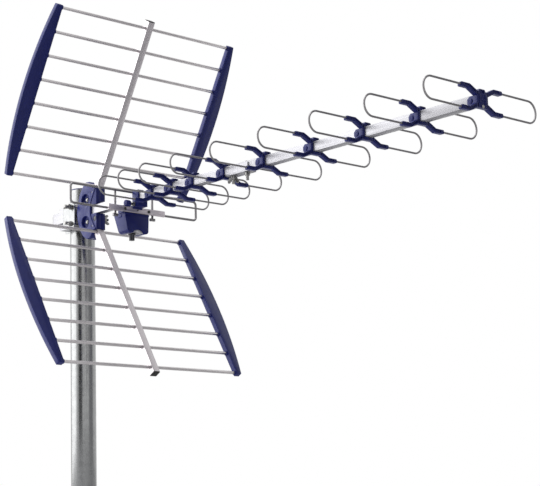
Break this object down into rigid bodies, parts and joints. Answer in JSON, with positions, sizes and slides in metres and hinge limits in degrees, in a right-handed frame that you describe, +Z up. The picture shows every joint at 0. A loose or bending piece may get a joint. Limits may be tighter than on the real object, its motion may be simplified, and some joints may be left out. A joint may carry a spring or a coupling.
{
  "type": "outdoor tv antenna",
  "caption": "Television antenna for a mast: two slanted rod reflectors, a flat dipole over a balun box, and a long square boom with navy clips that hold looped wire directors.",
  "frame": {"origin": "centre of the mast's lower end", "axes": "+X forward along the boom, towards the transmitter; +Z up along the mast; the boom runs beside the mast on the -Y side"},
  "size_m": [1.0123, 0.415, 0.8696],
  "materials": {
    "navy_plastic": "moulded, satin",
    "galvanised_steel": "galvanised, dull",
    "bright_aluminium": "extruded, satin",
    "rod_aluminium": "drawn, satin",
    "wire_aluminium": "drawn, satin",
    "plated_steel": "zinc plated",
    "black_screw": "black oxide",
    "black_plastic": "moulded",
    "pale_plastic": "moulded"
  },
  "bodies": {
    "mast": {"mast_tube": "galvanised_steel", "mast_cap": "navy_plastic"},
    "head": {"mast_saddle": "bright_aluminium", "mast_strap": "galvanised_steel", "clamp_plate": "galvanised_steel", "clamp_bolts": "plated_steel", "clamp_wing_nuts": "plated_steel", "rear_boom": "bright_aluminium", "front_boom": "bright_aluminium", "boom_plug": "black_plastic", "boom_splice": "bright_aluminium", "splice_bolts": "plated_steel", "small_wing_nuts": "plated_steel", "holder_left_half": "navy_plastic", "holder_right_half": "navy_plastic", "holder_bolts": "plated_steel", "holder_nuts": "plated_steel", "tube_pins": "plated_steel", "clasp_bolt": "plated_steel", "upper_tube": "bright_aluminium", "lower_tube": "bright_aluminium", "upper_tube_plug": "black_plastic", "lower_tube_plug": "black_plastic", "upper_rods": "rod_aluminium", "lower_rods": "rod_aluminium", "upper_left_cap": "navy_plastic", "upper_right_cap": "navy_plastic", "lower_left_cap": "navy_plastic", "lower_right_cap": "navy_plastic", "director_clip_1": "navy_plastic", "director_clip_2": "navy_plastic", "director_clip_3": "navy_plastic", "director_clip_4": "navy_plastic", "director_clip_5": "navy_plastic", "director_clip_6": "navy_plastic", "director_clip_7": "navy_plastic", "director_clip_8": "navy_plastic", "director_clip_9": "navy_plastic", "director_wires_1": "wire_aluminium", "director_wires_2": "wire_aluminium", "director_wires_3": "wire_aluminium", "director_wires_4": "wire_aluminium", "director_wires_5": "wire_aluminium", "director_wires_6": "wire_aluminium", "director_wires_7": "wire_aluminium", "director_wires_8": "wire_aluminium", "director_wires_9": "wire_aluminium", "tip_screw": "plated_steel", "dipole_loop": "wire_aluminium", "dipole_struts": "wire_aluminium", "dipole_plate": "rod_aluminium", "dipole_screws": "black_screw", "dipole_bracket": "navy_plastic", "bracket_bolt": "black_screw", "bracket_knob": "navy_plastic", "bracket_nut": "plated_steel", "balun_cover": "navy_plastic", "balun_housing": "navy_plastic", "socket_liner": "pale_plastic", "coax_socket": "plated_steel"}
  },
  "joints": [
    {"name": "azimuth", "type": "hinge", "parent": "mast", "child": "head", "pos_m": [0, 0, 0.56], "axis": [0, 0, 1], "continuous": true}
  ]
}
